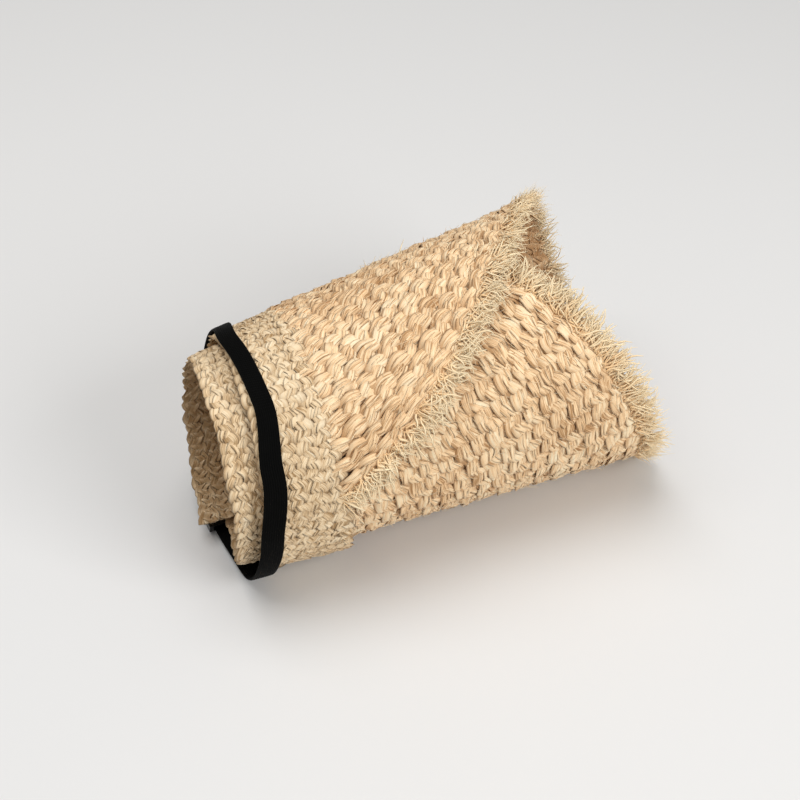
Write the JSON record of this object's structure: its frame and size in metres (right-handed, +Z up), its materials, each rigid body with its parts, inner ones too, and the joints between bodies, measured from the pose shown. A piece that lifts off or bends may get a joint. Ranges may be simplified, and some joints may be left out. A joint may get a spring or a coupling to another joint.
{
  "type": "rolled-up straw sun visor",
  "caption": "Wide-brimmed braided straw sun visor rolled into a cone-shaped tube lying on its side, with a frayed fringe, held by a black elastic strap with slider and ring.",
  "frame": {"origin": "centre of the bounding box on the surface that the roll lies on", "axes": "+X along the roll from the narrow headband end to the wide fringed end, +Z up, -Y towards the side with the flap's free end"},
  "size_m": [0.207, 0.1204, 0.1152],
  "materials": {
    "headband_straw": "fine plaited raffia, pale cream, matt",
    "brim_straw": "coarse plaited raffia, warm straw, low sheen",
    "raffia_fringe": "frayed raffia ends",
    "black_elastic": "ribbed woven elastic, matt black",
    "black_plastic": "moulded, smooth"
  },
  "bodies": {
    "roll": {"band_braid_1": "headband_straw", "band_braid_2": "headband_straw", "band_braid_3": "headband_straw", "band_braid_4": "headband_straw", "brim_braid_01": "brim_straw", "brim_braid_02": "brim_straw", "brim_braid_03": "brim_straw", "brim_braid_04": "brim_straw", "brim_braid_05": "brim_straw", "brim_braid_06": "brim_straw", "brim_braid_07": "brim_straw", "brim_braid_08": "brim_straw", "brim_braid_09": "brim_straw", "brim_braid_10": "brim_straw", "brim_braid_11": "brim_straw", "brim_braid_12": "brim_straw", "brim_braid_13": "brim_straw", "brim_braid_14": "brim_straw", "brim_braid_15": "brim_straw", "brim_braid_16": "brim_straw", "brim_braid_17": "brim_straw", "brim_braid_18": "brim_straw", "brim_braid_19": "brim_straw", "brim_fringe": "raffia_fringe"},
    "flap": {"flap_band_braid_1": "headband_straw", "flap_band_braid_2": "headband_straw", "flap_band_braid_3": "headband_straw", "flap_band_braid_4": "headband_straw", "flap_brim_braid_01": "brim_straw", "flap_brim_braid_02": "brim_straw", "flap_brim_braid_03": "brim_straw", "flap_brim_braid_04": "brim_straw", "flap_brim_braid_05": "brim_straw", "flap_brim_braid_06": "brim_straw", "flap_brim_braid_07": "brim_straw", "flap_brim_braid_08": "brim_straw", "flap_brim_braid_09": "brim_straw", "flap_brim_braid_10": "brim_straw", "flap_brim_braid_11": "brim_straw", "flap_brim_braid_12": "brim_straw", "flap_brim_braid_13": "brim_straw", "flap_brim_fringe": "raffia_fringe"},
    "strap": {"elastic_strap": "black_elastic", "strap_sewn_loop": "black_elastic", "strap_slider_loop": "black_elastic"},
    "slider": {"strap_slider": "black_plastic"},
    "ring": {"strap_ring": "black_plastic"}
  },
  "joints": [
    {"name": "flap_open", "type": "hinge", "parent": "roll", "child": "flap", "pos_m": [-0.10313, 0.02099, 0.08754], "axis": [-0.9905, -0.0425, -0.1309], "range_deg": [0, 45]},
    {"name": "strap_off", "type": "slide", "parent": "roll", "child": "strap", "axis": [-1, 0, 0], "range_m": [0, 0.06], "deforming": ["elastic_strap", "strap_slider_loop"]},
    {"name": "slider_slide", "type": "slide", "parent": "strap", "child": "slider", "axis": [0, -0.9857, -0.1686], "range_m": [0, 0.003]},
    {"name": "ring_swing", "type": "hinge", "parent": "strap", "child": "ring", "pos_m": [-0.09183, 0.02667, 0.00985], "axis": [0.9994, 0.0184, -0.0309], "range_deg": [-10, 20]}
  ],
  "couplings": [
    {"joint": "strap_off", "follows": "flap_open", "m_per_rad": 0.0763}
  ]
}
